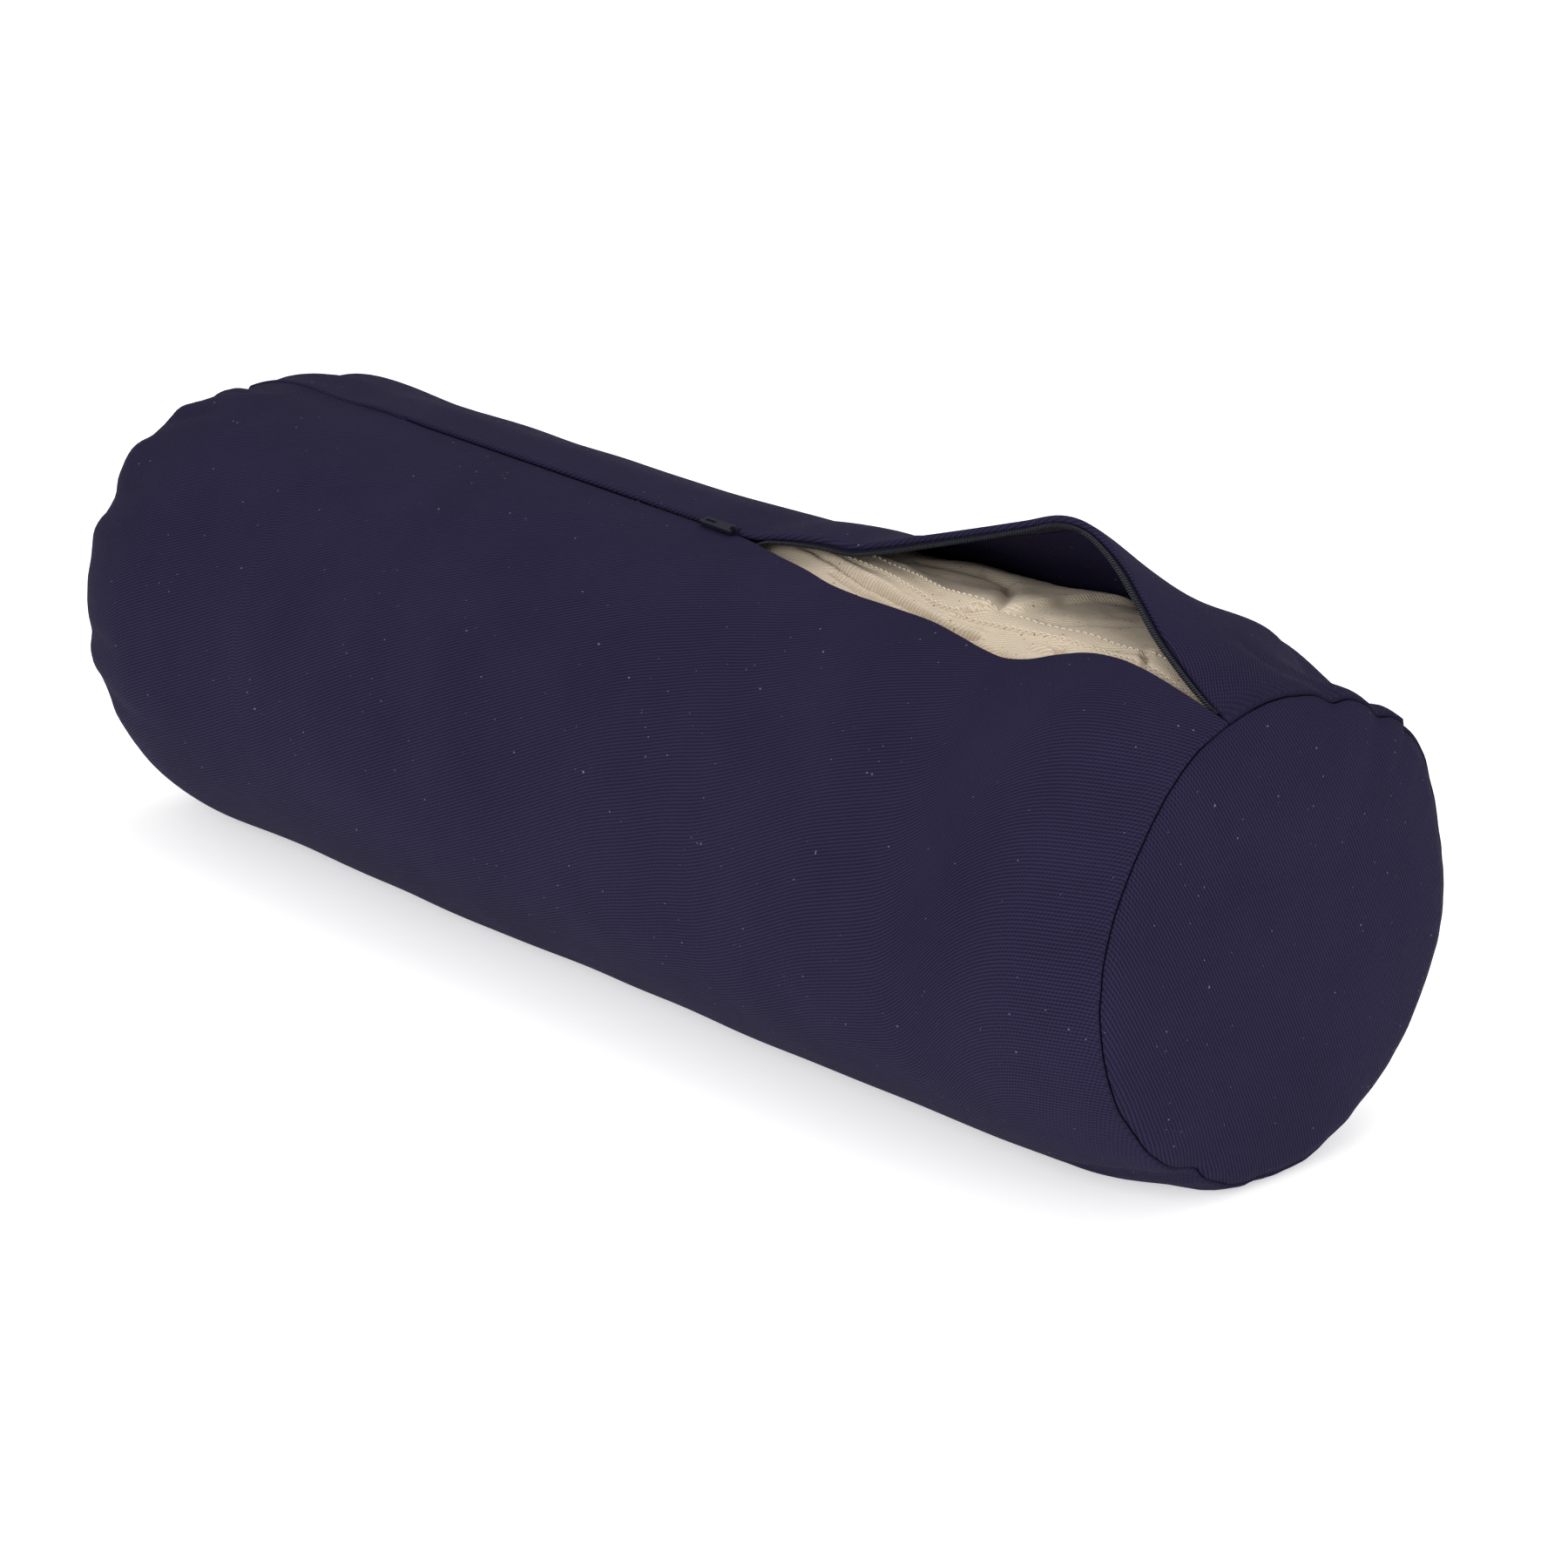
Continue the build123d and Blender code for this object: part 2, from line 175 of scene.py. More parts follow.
def settle(points, soft=2.0):
    """Presses points flat on the floor, with a soft bend at the edge of the flat."""
    points[..., 2] = 0.5 * (points[..., 2] + np.sqrt(points[..., 2] ** 2 + soft**2))
    return points


def grid_faces(rows, columns, closed=False):
    wide = columns if closed else columns - 1
    r, c = np.meshgrid(np.arange(rows - 1), np.arange(wide), indexing="ij")
    here, right = r * columns + c, r * columns + (c + 1) % columns
    return np.stack([here, right, right + columns, here + columns], -1).reshape(-1, 4)


def make_piece(name, points, faces, material, cloth_at=None):
    """A mesh piece from points in millimetres.

    cloth_at gives each point's place on the flat cloth, for the weave.
    """
    mesh = bpy.data.meshes.new(name)
    corners = [list(map(int, f)) for f in faces]
    mesh.from_pydata((np.asarray(points).reshape(-1, 3) * MM).tolist(), [], corners)
    mesh.polygons.foreach_set("use_smooth", [True] * len(mesh.polygons))
    if cloth_at is not None:
        flat = np.zeros((len(mesh.vertices), 3), np.float32)
        flat[:, :2] = np.asarray(cloth_at).reshape(-1, 2) * MM
        mesh.attributes.new("cloth_at", "FLOAT_VECTOR", "POINT").data.foreach_set("vector", flat.ravel())
    mesh.materials.append(material)
    piece = bpy.data.objects.new(name, mesh)
    bpy.context.scene.collection.objects.link(piece)
    return piece


def apply_modifiers(piece):
    bpy.context.view_layer.update()
    graph = bpy.context.evaluated_depsgraph_get()
    mesh = bpy.data.meshes.new_from_object(piece.evaluated_get(graph))
    piece.modifiers.clear()
    piece.data = mesh


def thicken(piece, thickness, offset=0.0):
    solid = piece.modifiers.new("thickness", "SOLIDIFY")
    solid.thickness = thickness * MM
    solid.offset = offset
    apply_modifiers(piece)


def tube_along(points, radius, sides=6):
    """Points and faces of a round thread that follows points."""
    points = np.asarray(points, float)
    ahead = np.gradient(points, axis=0)
    ahead /= np.linalg.norm(ahead, axis=1)[:, None]
    guess = np.where(np.abs(ahead[:, 2:3]) < 0.9, [[0, 0, 1.0]], [[0, 1.0, 0]])
    side = np.cross(ahead, guess)
    side /= np.linalg.norm(side, axis=1)[:, None]
    top = np.cross(side, ahead)
    turn = np.linspace(0, 2 * np.pi, sides, endpoint=False)
    ring = np.cos(turn)[None, :, None] * side[:, None] + np.sin(turn)[None, :, None] * top[:, None]
    return points[:, None] + radius * ring, grid_faces(len(points), sides, closed=True)


def join_parts(parts):
    """One list of points and faces from several."""
    points, faces, start = [], [], 0
    for p, f in parts:
        p = np.asarray(p).reshape(-1, 3)
        points.append(p)
        faces += [[i + start for i in corners] for corners in f]
        start += len(p)
    return np.concatenate(points), faces


# ---------------------------------------------------------------- materials


def new_material(name):
    material = bpy.data.materials.new(name)
    material.use_nodes = True
    nodes, links = material.node_tree.nodes, material.node_tree.links
    return material, nodes, links, nodes["Principled BSDF"]


def node(nodes, kind, **values):
    made = nodes.new(kind)
    for key, value in values.items():
        if key.startswith("in_"):
            made.inputs[key[3:].replace("_", " ")].default_value = value
        else:
            setattr(made, key, value)
    return made


def cloth_material(name, color, light, pitch, lean, bump, sheen, fleck, rare, grain=0.0):
    """Twill: diagonal ribs, threads across them, soft patches of dye, and a few flecks or specks of lint."""
    material, nodes, links, shader = new_material(name)
    place = node(nodes, "ShaderNodeAttribute", attribute_name="cloth_at")
    turned = node(nodes, "ShaderNodeMapping")
    turned.inputs["Rotation"].default_value = (0, 0, math.radians(lean))
    links.new(place.outputs["Vector"], turned.inputs["Vector"])
    ribs = node(nodes, "ShaderNodeTexWave", in_Distortion=0.6, in_Detail=1.0, in_Detail_Scale=1.5)
    ribs.inputs["Scale"].default_value = math.pi / (10 * pitch * MM)
    ribs.bands_direction = "Y"
    threads = node(nodes, "ShaderNodeTexWave", in_Distortion=0.8, in_Detail=1.0, in_Detail_Scale=1.0)
    threads.inputs["Scale"].default_value = math.pi / (10 * pitch * 0.62 * MM)
    threads.bands_direction = "DIAGONAL"
    for wave in (ribs, threads):
        links.new(turned.outputs["Vector"], wave.inputs["Vector"])
    patches = node(nodes, "ShaderNodeTexNoise", in_Scale=22.0, in_Detail=5.0, in_Roughness=0.6)
    fluff = node(nodes, "ShaderNodeTexNoise", in_Scale=1500.0, in_Detail=3.0, in_Roughness=0.7)
    where = node(nodes, "ShaderNodeTexCoord")
    links.new(where.outputs["Object"], patches.inputs["Vector"])
    links.new(where.outputs["Object"], fluff.inputs["Vector"])
    weave = node(nodes, "ShaderNodeMix", data_type="FLOAT")
    weave.inputs["Factor"].default_value = 0.32
    links.new(ribs.outputs["Fac"], weave.inputs["A"])
    links.new(threads.outputs["Fac"], weave.inputs["B"])
    rough_weave = node(nodes, "ShaderNodeMix", data_type="FLOAT")
    rough_weave.inputs["Factor"].default_value = 0.25 + grain
    links.new(weave.outputs["Result"], rough_weave.inputs["A"])
    links.new(fluff.outputs["Fac"], rough_weave.inputs["B"])
    both = node(nodes, "ShaderNodeMix", data_type="FLOAT")
    both.inputs["Factor"].default_value = 0.27
    links.new(rough_weave.outputs["Result"], both.inputs["A"])
    links.new(patches.outputs["Fac"], both.inputs["B"])
    ramp = node(nodes, "ShaderNodeValToRGB")
    ramp.color_ramp.elements[0].position = 0.28
    ramp.color_ramp.elements[0].color = (*color, 1)
    ramp.color_ramp.elements[1].position = 0.74
    ramp.color_ramp.elements[1].color = (*light, 1)
    links.new(both.outputs["Result"], ramp.inputs["Fac"])
    seed = node(nodes, "ShaderNodeTexNoise", in_Scale=700.0, in_Detail=0.0)
    links.new(where.outputs["Object"], seed.inputs["Vector"])
    spot = node(nodes, "ShaderNodeMapRange")
    spot.inputs["From Min"].default_value = rare
    spot.inputs["From Max"].default_value = rare + 0.02
    links.new(seed.outputs["Fac"], spot.inputs["Value"])
    flecked = node(nodes, "ShaderNodeMix", data_type="RGBA")
    flecked.inputs["B"].default_value = (*fleck, 1)
    links.new(spot.outputs["Result"], flecked.inputs["Factor"])
    links.new(ramp.outputs["Color"], flecked.inputs["A"])
    links.new(flecked.outputs["Result"], shader.inputs["Base Color"])
    raised = node(nodes, "ShaderNodeBump", in_Strength=bump, in_Distance=0.0004)
    links.new(rough_weave.outputs["Result"], raised.inputs["Height"])
    links.new(raised.outputs["Normal"], shader.inputs["Normal"])
    shader.inputs["Roughness"].default_value = 0.88
    shader.inputs["Specular IOR Level"].default_value = 0.06
    shader.inputs["Sheen Weight"].default_value = sheen
    shader.inputs["Sheen Roughness"].default_value = 0.5
    return material


def plain_material(name, color, light, roughness, metallic=0.0, scale=400.0, bump=0.1, specular=0.3):
    """Moulded plastic or enamelled metal, with fine unevenness."""
    material, nodes, links, shader = new_material(name)
    where = node(nodes, "ShaderNodeTexCoord")
    grain = node(nodes, "ShaderNodeTexNoise", in_Scale=scale, in_Detail=4.0)
    links.new(where.outputs["Object"], grain.inputs["Vector"])
    ramp = node(nodes, "ShaderNodeValToRGB")
    ramp.color_ramp.elements[0].color = (*color, 1)
    ramp.color_ramp.elements[1].color = (*light, 1)
    links.new(grain.outputs["Fac"], ramp.inputs["Fac"])
    links.new(ramp.outputs["Color"], shader.inputs["Base Color"])
    raised = node(nodes, "ShaderNodeBump", in_Strength=bump, in_Distance=0.0001)
    links.new(grain.outputs["Fac"], raised.inputs["Height"])
    links.new(raised.outputs["Normal"], shader.inputs["Normal"])
    shader.inputs["Roughness"].default_value = roughness
    shader.inputs["Metallic"].default_value = metallic
    shader.inputs["Specular IOR Level"].default_value = specular
    return material


LINT = (0.15, 0.15, 0.19)
HUSK = (0.20, 0.13, 0.07)
# Each dye is two colours, the darker and the lighter threads
TAPE_DYE = (0.005, 0.006, 0.013), (0.014, 0.016, 0.030)
NATURAL_DYE = (0.47, 0.385, 0.285), (0.70, 0.60, 0.47)
SEAM_DYE = (0.46, 0.375, 0.275), (0.68, 0.58, 0.45)
NAVY_THREAD_DYE = (0.018, 0.015, 0.038), (0.034, 0.029, 0.064)
NAVY_DYE = (0.0095, 0.0076, 0.0225), (0.0255, 0.0210, 0.0545)
NAVY = cloth_material("navy twill", *NAVY_DYE, 1.35, 27, 1.0, 0.0, LINT, 0.865)
NAVY_END = cloth_material("navy twill end", *NAVY_DYE, 1.35, 62, 1.0, 0.0, LINT, 0.865)
TAPE_WEAVE = cloth_material("zip tape weave", *TAPE_DYE, 0.9, 45, 1.0, 0.03, LINT, 0.90)
NATURAL = cloth_material("natural twill", *NATURAL_DYE, 1.2, 25, 0.55, 0.05, HUSK, 0.80, 0.1)
NATURAL_END = cloth_material("natural twill end", *NATURAL_DYE, 1.2, 65, 0.55, 0.05, HUSK, 0.80, 0.1)
NATURAL_SEAM = cloth_material("natural twill seam", *SEAM_DYE, 1.2, -20, 0.65, 0.05, HUSK, 0.80, 0.1)
KAPOK = plain_material("filling", (0.66, 0.62, 0.54), (0.82, 0.79, 0.72), 0.95, 0.0, 120.0, 1.0)
# Dark nylon, lightened above black as a painted glint, so the coil row reads as the line of its small
# highlights
COIL_WITH_PAINTED_GLINT = plain_material("dark coil nylon lightened as painted glint", (0.008, 0.009, 0.015), (0.021, 0.024, 0.034), 0.22)
# Dark enamel on the slider, pull and end stops, darkened further as painted shade, because the slider sits
# hidden in the shade under the fold
METAL_DARKENED_AS_SHADE = plain_material("dark enamel darkened further as painted shade", (0.005, 0.005, 0.011), (0.012, 0.012, 0.024), 0.45, specular=0.06)
THREAD = plain_material("natural thread", (0.66, 0.56, 0.43), (0.80, 0.71, 0.58), 0.8, 0.0, 900.0, 0.5)
NAVY_THREAD = plain_material("navy thread", *NAVY_THREAD_DYE, 0.75, 0.0, 900.0, 0.5)

# ---------------------------------------------------------------- the cover's lips

# The near lip's edge: x, y and how far it stands above the round
NEAR_LIP = [
    (36, -22.0, 0), (46, -22.2, 0), (59, -23.8, 0), (77, -27.2, 0), (98, -30.6, 0), (115, -34.3, 0),
    (133, -36.0, 0), (156, -36.5, 0), (180, -37.6, 0), (197, -40.4, 0), (213, -43.2, 0), (226, -44.6, 0.4),
    (238, -43.2, 1.6), (250, -39.2, 3.6), (262, -36.0, 5.2), (276, -34.8, 5.8), (290, -35.0, 5.8),
    (304, -35.4, 5.6), (318, -34.6, 5.0), (330, -32.0, 3.4),
]
# The far lip's row of coil: x, y, z
FAR_ROW = [
    (46, -20.2, 201.6), (58, -19.8, 203.2), (74, -18.5, 205.6), (92, -16.5, 207.2), (108, -14.5, 207.4),
    (124, -12.0, 211.2), (146, -9.0, 217.8), (172, -5.0, 225.8), (192, -1.0, 232.2), (208, 2.0, 237.4),
    (222, 1.4, 237.8), (237, -2.0, 234.0), (250, -6.0, 228.4), (264, -11.0, 220.2), (280, -17.5, 212.0),
    (297, -23.5, 205.2), (313, -28.5, 199.4), (330, -31.0, 191.8),
]
# From the coil row to the edge of the far fold, y and z, and the slope at which the cloth comes to that fold
FAR_BAND = [
    (46, 1.6, 2.6, -11), (74, 1.4, 3.4, -8), (108, 1.4, 4.2, -4), (146, 1.4, 4.2, 6), (192, 1.6, 3.6, 20),
    (215, 2.2, 3.0, 28), (235, 3.4, 2.2, 32), (250, 4.4, 1.6, 26), (268, 4.6, 1.4, 10), (285, 4.4, 1.2, -2),
    (304, 3.6, 1.4, -12),
    (330, 1.4, 2.2, -18),
]
FOLD_TURN = math.radians(-44)  # where the raised lip leaves the round, from the top to the back
SLIT_HALF = 1.3


def on_round(x, y, lift=0.0, inset=0.0):
    return AXIS_Z + np.sqrt((tube_radius(x, inset) + lift) ** 2 - np.asarray(y) ** 2)


def slit_y(x):
    """Where the closed folds meet, in plan: over the slider's path, then straight on to the far end seam."""
    x = np.asarray(x, float)
    lean = -UP[1] / UP[2]
    path = chain_point(x)
    over = path[..., 1] - lean * (on_round(x, path[..., 1]) - path[..., 2])
    start = CHAIN_START + 10
    first = chain_point(start)
    at_start = first[1] - lean * (on_round(start, first[1]) - first[2])
    beyond = at_start + (start - x) * 0.088
    return np.where(x > start, over, beyond)


def lip_edges(x):
    """The main panel's two edges at x, and the slope at which the cloth comes to the far one."""
    x = np.asarray(x, float)
    middle = slit_y(x)
    gap = np.where(x < CHAIN_START - 8, 0.25, SLIT_HALF)
    parted = smooth(40, 52, x)
    near_y, near_lift = course(NEAR_LIP, x).T
    near_y = near_y * parted + (middle - gap) * (1 - parted)
    unzipped = 1 - smooth(CHAIN_START - 64, CHAIN_START - 18, x)
    near_lift = near_lift * parted - (0.4 + 1.8 * unzipped) * (1 - parted)
    near = np.stack([x, near_y, on_round(x, near_y, near_lift)], -1)
    far_y = middle + gap
    far_closed = np.stack([x, far_y, on_round(x, far_y, 1.5 - 2.6 * unzipped)], -1)
    row_y, row_z = course(FAR_ROW, x).T
    band_y, band_z, slope = course(FAR_BAND, x).T
    far_open = np.stack([x, row_y + band_y, row_z + band_z], -1)
    raised = smooth(44, 66, x)[..., None]
    far = far_closed * (1 - raised) + far_open * raised
    closed_slope = -np.degrees(np.arcsin(-far_y / RADIUS))
    slope = closed_slope * (1 - raised[..., 0]) + slope * raised[..., 0]
    return near, far, np.radians(slope)


# ---------------------------------------------------------------- the cover's surface

# Soft dents and swells of the cloth: x, degrees round from the top to the front, their two sizes, and height
SWELLS = [
    (-268, -22, 44, 13, 4.8), (-292, 14, 24, 12, 1.6), (-240, 30, 60, 18, 1.6), (-60, -30, 90, 20, -2.6),
    (150, 118, 90, 22, 2.2),
    (-332, 118, 20, 14, -3.0), (-336, 84, 16, 12, -3.6), (-325, 40, 14, 12, 3.0),
    (296, 36, 34, 9, 2.4), (300, 66, 30, 12, -1.2),
    (312, 158, 30, 20, -2.5), (332, -96, 16, 26, 2.4), (-335, 26, 13, 12, 3.2), (283, 34, 34, 13, 3.6),
    (205, 62, 60, 14, -1.6), (272, -26, 18, 14, 4.0), (306, -28, 15, 12, -6.0), (333, -50, 16, 12, 4.8),
    (50, -30, 50, 16, -1.8), (60, 80, 70, 20, 1.0),
    (-120, 66, 80, 22, 1.4), (-200, 104, 60, 20, -1.2),
]
# Creases: points of x and degrees round, width in degrees, and depth
CREASES = [
    ([(-334, -6), (-316, 2), (-292, 9)], 2.2, -3.6), ([(-332, 16), (-318, 11), (-300, 12)], 2.0, -2.6),
    ([(-334, 34), (-322, 26), (-306, 24)], 2.6, -3.0), ([(-334, 58), (-324, 52), (-312, 50)], 3.0, -2.6),
    ([(-333, 92), (-322, 95), (-310, 92)], 3.0, -2.6), ([(-333, 112), (-320, 106), (-300, 108)], 3.2, -2.2),
    ([(280, 150), (305, 146), (332, 152)], 3.4, -3.0), ([(296, 168), (316, 166), (334, 172)], 3.0, 2.0),
    ([(-336, -27), (-316, -17), (-294, -13)], 2.8, -3.4), ([(310, -8), (320, -13), (334, -17)], 2.4, -3.0),
    ([(290, -30), (312, -34), (334, -33)], 3.0, -2.0),
]


def cloth_relief(x, turn):
    """How far the cover stands out of or into the round, at x and turn degrees from the top to the front."""
    turn = (np.asarray(turn, float) + 180) % 360 - 180
    around = np.radians(turn)
    place = (x, RADIUS * np.sin(around), RADIUS * np.cos(around))
    relief = 1.5 * waves(*place, 120, 1) + 0.7 * waves(*place, 52, 2)
    for at, towards, long, wide, height in SWELLS:
        off = (turn - towards + 180) % 360 - 180
        relief = relief + height * np.exp(-(((x - at) / long) ** 2) - (off / wide) ** 2)
    for points, wide, height in CREASES:
        scaled = [(px / 6, pt) for px, pt in points]
        relief = relief + height * ridge(x / 6, turn, scaled, wide)
    off_slit = RADIUS * around + slit_y(x)
    shut = 1 - smooth(30, 60, x)
    before_zip = smooth(CHAIN_START - 30, CHAIN_START, 2 * CHAIN_START - x)
    valley = 1.2 * np.exp(-((off_slit / 5.5) ** 2)) * (0.6 + 0.4 * before_zip)
    shoulders = 1.5 * np.exp(-(((off_slit + 17) / 11) ** 2)) + 0.5 * np.exp(-(((off_slit - 17) / 12) ** 2))
    beyond_zip = 1 - smooth(CHAIN_START - 60, CHAIN_START - 10, x)
    relief = relief + shut * (shoulders - valley - beyond_zip * 2.6 * np.exp(-((off_slit / 9) ** 2)))
    to_seam = HALF - np.abs(x)
    gathers = waves(x * 0.25, place[1], place[2], 17, 3) + 0.5 * waves(x * 0.4, place[1], place[2], 8, 4)
    fullness = np.where(x > 0, 1.1 - 0.55 * np.exp(-(((turn - 75) / 50) ** 2)), 2.0)
    relief = relief + fullness * np.exp(-to_seam / 13) * gathers - 0.8 * np.exp(-((to_seam / 5) ** 2))
    return relief


def sheet_columns():
    """x of every column of the main panel: closer together near the end seams."""
    inner = np.linspace(-HALF + 12, HALF - 12, 250)
    ends = np.linspace(0, 12, 9)[:-1]
    return np.concatenate([-HALF + 0.8 + ends * 11.2 / 12, inner, (HALF - 0.8 - ends * 11.2 / 12)[::-1]])


def hem_rows(edge, ahead, out, under, steps=5):
    """Rows of cloth that fold over at an edge and run back under it.

    ahead points off the edge, out away from the fill.
    """
    rows = []
    centre = edge - out * FOLD
    for turn in np.linspace(0, np.pi, 7)[1:]:
        rows.append(centre + FOLD * (np.cos(turn) * out + np.sin(turn) * ahead))
    for back in np.linspace(0, under, steps)[1:]:
        rows.append(centre - out * (FOLD + back**2 / (2 * RADIUS)) - ahead * back)
    return rows


def main_panel():
    """The main panel: from the near hem, round the front, under and up the back, to the far hem."""
    x = sheet_columns()
    near, far, slope = lip_edges(x)
    near_turn = np.arctan2(-near[:, 1], near[:, 2] - AXIS_Z)
    near_lift = np.hypot(near[:, 1], near[:, 2] - AXIS_Z) - tube_radius(x)
    rows = []
    wraps = np.linspace(0, 1, 190)
    last_turn = 2 * np.pi + FOLD_TURN
    for share in wraps:
        turn = near_turn + (last_turn - near_turn) * share
        away = turn - near_turn
        lift = near_lift * np.exp(-((away / math.radians(16)) ** 2))
        relief = cloth_relief(x, np.degrees(turn)) * smooth(0, 0.14, away)
        radius = tube_radius(x) + relief + lift
        rows.append(np.stack([x, -radius * np.sin(turn), AXIS_Z + radius * np.cos(turn)], -1))
    base = rows[-1]
    rise = np.tile([0.0, -math.cos(FOLD_TURN), -math.sin(FOLD_TURN)], (len(x), 1))
    arrive = np.stack([np.zeros_like(x), -np.cos(slope), np.sin(slope)], -1)
    span = np.linalg.norm(far - base, axis=1)[:, None]
    for t in np.linspace(0, 1, 44)[1:]:
        a, b = base + rise * span * 0.36, far - arrive * span * 0.34
        point = (1 - t) ** 3 * base + 3 * (1 - t) ** 2 * t * a + 3 * (1 - t) * t**2 * b + t**3 * far
        turn = np.degrees(np.arctan2(-point[:, 1], point[:, 2] - AXIS_Z))
        outward = point - np.array([0, 0, AXIS_Z]) * [0, 0, 1]
        outward[:, 0] = 0
        outward /= np.linalg.norm(outward, axis=1)[:, None]
        relief = cloth_relief(x, turn) * (1 - smooth(0.7, 1.0, t))
        rows.append(point + outward * relief[:, None])
    near_ahead = rows[0] - rows[1]
    near_ahead[:, 0] = 0
    near_ahead /= np.linalg.norm(near_ahead, axis=1)[:, None]
    near_out = np.stack([np.zeros_like(x), -near_ahead[:, 2], near_ahead[:, 1]], -1)
    far_out = np.stack([np.zeros_like(x), np.sin(slope), np.cos(slope)], -1)
    near_hem = hem_rows(rows[0], near_ahead, near_out, HEM)
    far_hem = hem_rows(rows[-1], arrive, far_out, HEM)
    outline = settle(np.stack(rows))
    rings = [outline[:, 0], outline[:, -1]]
    rows = near_hem[::-1] + rows + far_hem
    points = turn_in_ends(settle(np.stack(rows)))
    along = np.linalg.norm(np.diff(points, axis=0), axis=2).cumsum(0)
    along = np.concatenate([np.zeros((1, points.shape[1])), along])
    cloth_at = np.stack([np.broadcast_to(points[..., 0], along.shape), along], -1)
    return points, cloth_at, rings


def turn_in_ends(points):
    """Adds columns at both ends where the cloth turns in at the end seam."""
    middle = np.array([0, 0, AXIS_Z])
    sides = []
    for side, edge in ((-1, points[:, 0]), (1, points[:, -1])):
        inward = middle - edge
        inward[:, 0] = 0
        inward /= np.linalg.norm(inward, axis=1)[:, None]
        step = [(0.45, 0.35), (0.7, 1.0), (0.2, 1.8), (-2.5, 2.2), (-8.0, 2.6)]
        sides.append([edge + np.array([side * out, 0, 0]) + inward * deep for out, deep in step])
    return np.concatenate([np.stack(sides[0][::-1], 1), points, np.stack(sides[1], 1)], 1)


def add_cover():
    points, cloth_at, rings = main_panel()
    panel = make_piece("cover_main_panel", points, grid_faces(*points.shape[:2]), NAVY, cloth_at)
    thicken(panel, CLOTH)
    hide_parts("cover_body", "cover_lip_far")
    ends = []
    for side, word, ring in ((-1, "far", rings[0]), (1, "near", rings[1])):
        end = end_panel(f"cover_end_panel_{word}", side, ring, HALF, BULGE, CLOTH, NAVY_END, 0.9)
        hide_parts(f"cover_end_{word}")
        ends.append(end)
        path = ring_at(ring, side * (HALF - 1.2), 2.3)
        thread = seam_stitches(f"cover_end_stitches_{word}", path, 3.0, 3.6, 0.28, NAVY_THREAD)
        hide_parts(f"end_seam_thread_{word}")
    return panel, ends


def ring_at(ring, x, inset):
    """A closed ring at x, inside an outline by inset."""
    turn = np.arctan2(ring[:, 1], ring[:, 2] - AXIS_Z)
    reach = np.hypot(ring[:, 1], ring[:, 2] - AXIS_Z) - inset
    order = np.argsort(turn)
    turns = np.linspace(-np.pi, np.pi, 721)
    reach = np.interp(turns, turn[order], reach[order], period=2 * np.pi)
    return np.stack([np.full_like(turns, x), reach * np.sin(turns), AXIS_Z + reach * np.cos(turns)], -1)


def end_panel(name, side, ring, half, bulge, thickness, material, pucker):
    """The round panel that closes an end: its edge turned in at the seam, then a soft dome."""
    outline = ring_at(ring, 0, 0)[:-1][::2]
    turn = np.arctan2(outline[:, 1], outline[:, 2] - AXIS_Z)
    reach = np.hypot(outline[:, 1], outline[:, 2] - AXIS_Z)
    rows = []
    for x, inset in ((-8.0, 3.9), (-3.0, 3.7), (-0.6, 3.2), (0.3, 2.5), (0.9, 2.2)):
        at, inner = np.full_like(turn, side * (half + x)), reach - inset
        rows.append(np.stack([at, inner * np.sin(turn), inner * np.cos(turn)], -1))
    for share in np.concatenate([np.linspace(0.965, 0.75, 26), np.linspace(0.73, 0.02, 40)]):
        r = (reach - 2.2) * share
        y, z = r * np.sin(turn), r * np.cos(turn)
        dome = 1.0 + (bulge - 2.0) * (1 - share**3.2) ** 0.8
        edge = reach - r - 2.2
        pleats = waves(np.full_like(y, side * 50.0), reach * np.sin(turn), reach * np.cos(turn), 10, 6)
        pleats += 0.6 * waves(np.full_like(y, side * 50.0), reach * np.sin(turn), reach * np.cos(turn), 5, 7)
        relief = pucker * np.exp(-edge / 7) * pleats * smooth(0, 3, edge)
        relief = relief + 1.0 * waves(np.full_like(y, side * 90.0), y, z, 55, 8) * smooth(0, 12, edge)
        rows.append(np.stack([side * (half + dome + relief), y, z], -1))
    points = np.stack(rows)
    points[..., 2] += AXIS_Z
    points = settle(points)
    count, wide = points.shape[:2]
    centre = points[-1].mean(0)
    faces = grid_faces(count, wide, closed=True)
    hub = count * wide
    last = (count - 1) * wide
    fan = [(last + i, last + (i + 1) % wide, hub) for i in range(wide)]
    if side > 0:
        faces, fan = faces[:, ::-1], [f[::-1] for f in fan]
    cloth_at = np.concatenate([points.reshape(-1, 3)[:, 1:], centre[None, 1:]])
    points = np.concatenate([points.reshape(-1, 3), centre[None]])
    piece = make_piece(name, points, faces.tolist() + fan, material, cloth_at)
    thicken(piece, thickness)
    return piece


def seam_stitches(name, path, length, pitch, radius, material, out=None):
    """A row of stitches along a path. out gives the way up at each point of the path."""
    reach = np.concatenate([[0], np.linalg.norm(np.diff(path, axis=0), axis=1).cumsum()])
    if out is None:
        out = path - np.array([0, 0, AXIS_Z])
        out[:, 0] = 0
        out /= np.linalg.norm(out, axis=1)[:, None]
    parts = []
    for start in np.arange(0, reach[-1] - length, pitch):
        at = start + np.linspace(0, length, 6)
        line = np.stack([np.interp(at, reach, path[:, k]) for k in range(3)], -1)
        up = np.stack([np.interp(at, reach, out[:, k]) for k in range(3)], -1)
        lift = np.array([-0.35, 0.1, 0.22, 0.22, 0.1, -0.35])
        parts.append(tube_along(line + up * lift[:, None], radius, 6))
    points, faces = join_parts(parts)
    return make_piece(name, points, faces, material)


# ---------------------------------------------------------------- the zip

COIL_RADIUS = 1.0
COIL_WIRE = 0.34
COIL_PITCH = 1.3
TAPE = 0.55
TAPE_WIDTH = 12.0
CHAIN_HALF = 1.0


